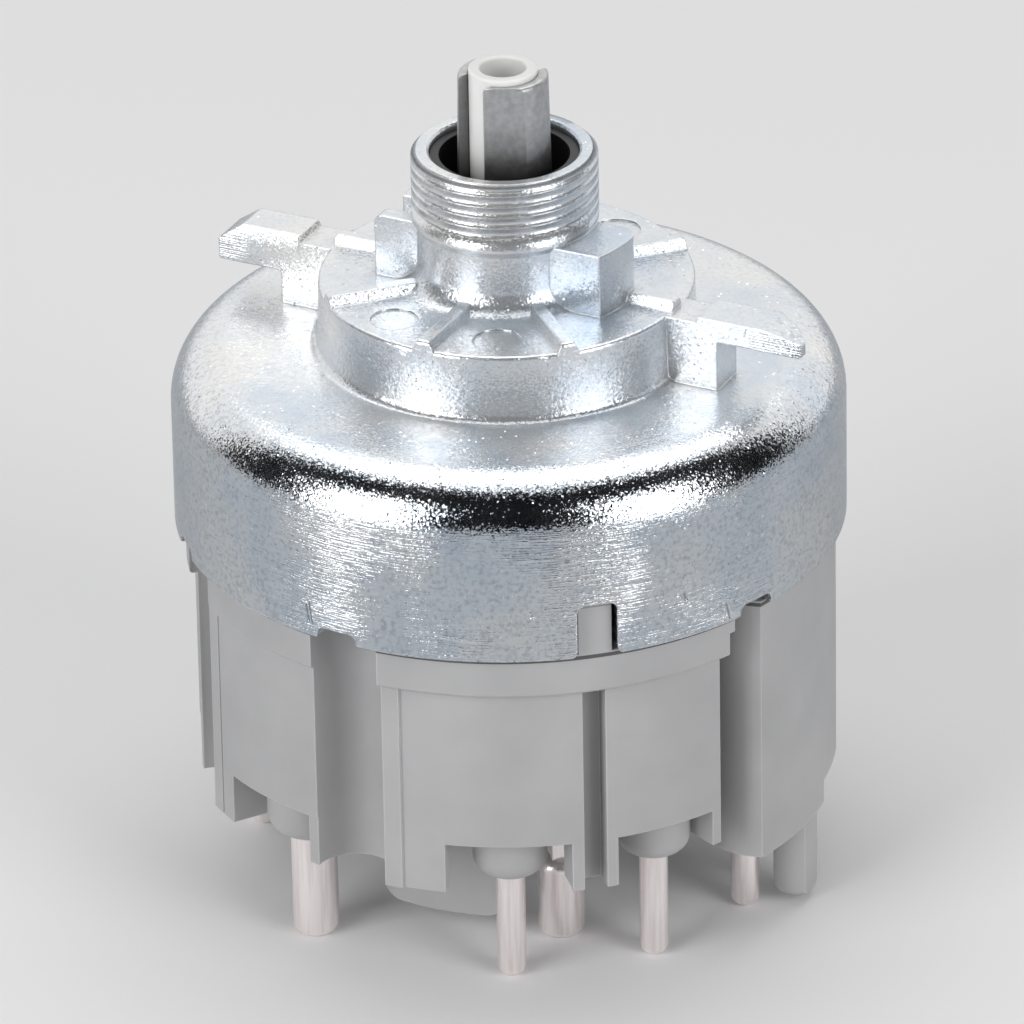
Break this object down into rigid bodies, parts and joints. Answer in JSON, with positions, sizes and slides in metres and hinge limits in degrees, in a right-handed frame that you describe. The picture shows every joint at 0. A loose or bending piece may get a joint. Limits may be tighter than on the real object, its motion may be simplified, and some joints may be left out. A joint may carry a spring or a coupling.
{
  "type": "headlight switch",
  "caption": "Rotary push-pull headlight switch: cast round housing with threaded neck and wings, moulded base with round pins and a split spindle round a light pipe.",
  "frame": {"origin": "on the neck's axis, at the tips of the terminal pins", "axes": "+Z along the neck, towards the knob; +X along the long mounting wing"},
  "size_m": [0.058, 0.058, 0.0751],
  "materials": {
    "die_cast_zinc": "bright",
    "grey_moulding": "matte",
    "black_moulding": "satin",
    "natural_moulding": "satin",
    "tinned_pin": "satin",
    "contact_brass": "bright",
    "spring_steel": "bright",
    "bearing_steel": "polished",
    "sintered_steel": "satin",
    "white_pipe": "satin"
  },
  "bodies": {
    "housing": {"housing": "die_cast_zinc", "terminal_base": "grey_moulding", "index_ring": "natural_moulding", "fog_blade_1": "contact_brass", "fog_blade_2": "contact_brass", "terminal_1": "tinned_pin", "contact_1": "contact_brass", "terminal_2": "tinned_pin", "contact_2": "contact_brass", "terminal_3": "tinned_pin", "contact_3": "contact_brass", "terminal_4": "tinned_pin", "contact_4": "contact_brass", "terminal_5": "tinned_pin", "contact_5": "contact_brass", "terminal_6": "tinned_pin", "contact_6": "contact_brass", "terminal_7": "tinned_pin", "contact_7": "contact_brass", "terminal_8": "tinned_pin", "contact_8": "contact_brass", "terminal_9": "tinned_pin", "contact_9": "contact_brass", "terminal_10": "tinned_pin", "contact_10": "contact_brass", "terminal_11": "tinned_pin", "contact_11": "contact_brass", "terminal_12": "tinned_pin", "contact_12": "contact_brass"},
    "rotor": {"rotor": "black_moulding", "index_ball_1": "bearing_steel", "index_ball_2": "bearing_steel", "index_spring_1": "spring_steel", "index_spring_2": "spring_steel", "bridge_1": "contact_brass", "bridge_2": "contact_brass", "bridge_3": "contact_brass", "bridge_spring_1": "spring_steel", "bridge_spring_2": "spring_steel", "bridge_spring_3": "spring_steel"},
    "spindle": {"spindle": "sintered_steel", "light_pipe": "white_pipe", "pull_contact": "contact_brass"}
  },
  "joints": [
    {"name": "rotor_turn", "type": "hinge", "parent": "housing", "child": "rotor", "pos_m": [0, 0, 0.04], "axis": [0, 0, 1], "range_deg": [-30, 60]},
    {"name": "spindle_pull", "type": "slide", "parent": "rotor", "child": "spindle", "axis": [0, 0, 1], "range_m": [0, 0.009]}
  ]
}
